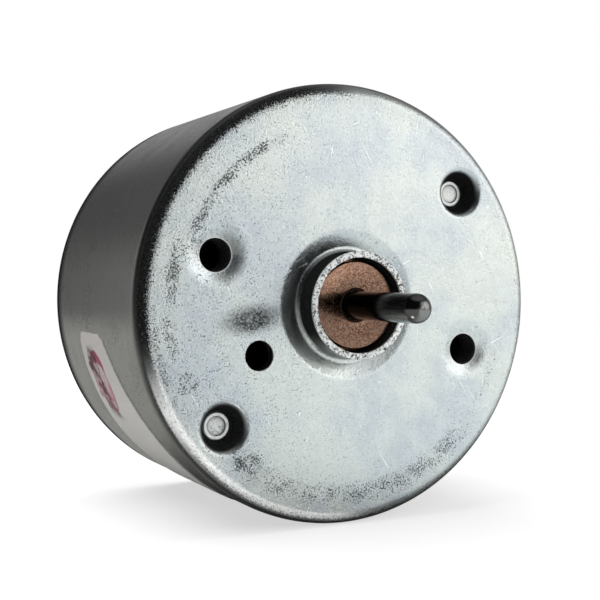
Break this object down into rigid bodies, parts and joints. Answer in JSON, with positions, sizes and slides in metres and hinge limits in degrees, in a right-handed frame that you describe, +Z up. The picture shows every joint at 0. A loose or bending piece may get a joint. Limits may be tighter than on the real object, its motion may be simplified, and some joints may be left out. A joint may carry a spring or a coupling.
{
  "type": "electric motor",
  "caption": "Small round brushed DC motor: drawn steel can with a bearing collar, bronze bush, rounded steel shaft, tapped face holes, dimples and a three-pole rotor inside.",
  "frame": {"origin": "centre of the flat front face, on the shaft axis", "axes": "the shaft axis is Y and the shaft points to -Y; the motor lies on its side, so +Z is up and +X is to the right of someone facing the shaft"},
  "size_m": [0.032, 0.0343, 0.032],
  "materials": {
    "can_steel": "zinc-plated drawn steel, mottled and lightly scuffed",
    "sintered_bronze": "sintered bronze, fine speckle",
    "ferrite_rubber": "rubber-bonded ferrite, matt",
    "cover_plastic": "moulded plastic, satin",
    "thrust_plastic": "moulded plastic, smooth",
    "terminal_brass": "tinned brass strip",
    "brush_alloy": "spring copper alloy",
    "damper_rubber": "matt rubber",
    "label_paper": "paper sticker with an abstract red ring",
    "shaft_steel": "ground and polished steel",
    "core_steel": "varnished electrical steel",
    "insulator_plastic": "moulded plastic",
    "winding_copper": "enamelled copper wire",
    "barrel_plastic": "moulded phenolic",
    "segment_copper": "bright copper",
    "varistor_ceramic": "fired ceramic",
    "solder": "tin solder",
    "washer_plastic": "thin plastic sheet"
  },
  "bodies": {
    "stator": {"motor_can": "can_steel", "front_bearing": "sintered_bronze", "magnet_ring": "ferrite_rubber", "rear_cover": "cover_plastic", "rear_bearing": "sintered_bronze", "thrust_plate": "thrust_plastic", "terminal_positive": "terminal_brass", "terminal_negative": "terminal_brass", "brush_positive": "brush_alloy", "brush_negative": "brush_alloy", "brush_damper_positive": "damper_rubber", "brush_damper_negative": "damper_rubber", "inspection_label": "label_paper"},
    "rotor": {"shaft": "shaft_steel", "laminations": "core_steel", "front_insulator": "insulator_plastic", "rear_insulator": "insulator_plastic", "winding_1": "winding_copper", "winding_2": "winding_copper", "winding_3": "winding_copper", "commutator_barrel": "barrel_plastic", "commutator_segment_1": "segment_copper", "commutator_segment_2": "segment_copper", "commutator_segment_3": "segment_copper", "commutator_ring": "thrust_plastic", "ring_varistor": "varistor_ceramic", "solder_joints": "solder", "spacer_sleeve": "thrust_plastic", "front_washer": "washer_plastic", "rear_washer": "washer_plastic"}
  },
  "joints": [
    {"name": "rotor_spin", "type": "hinge", "parent": "stator", "child": "rotor", "pos_m": [0, 0, 0], "axis": [0, -1, 0], "continuous": true}
  ]
}
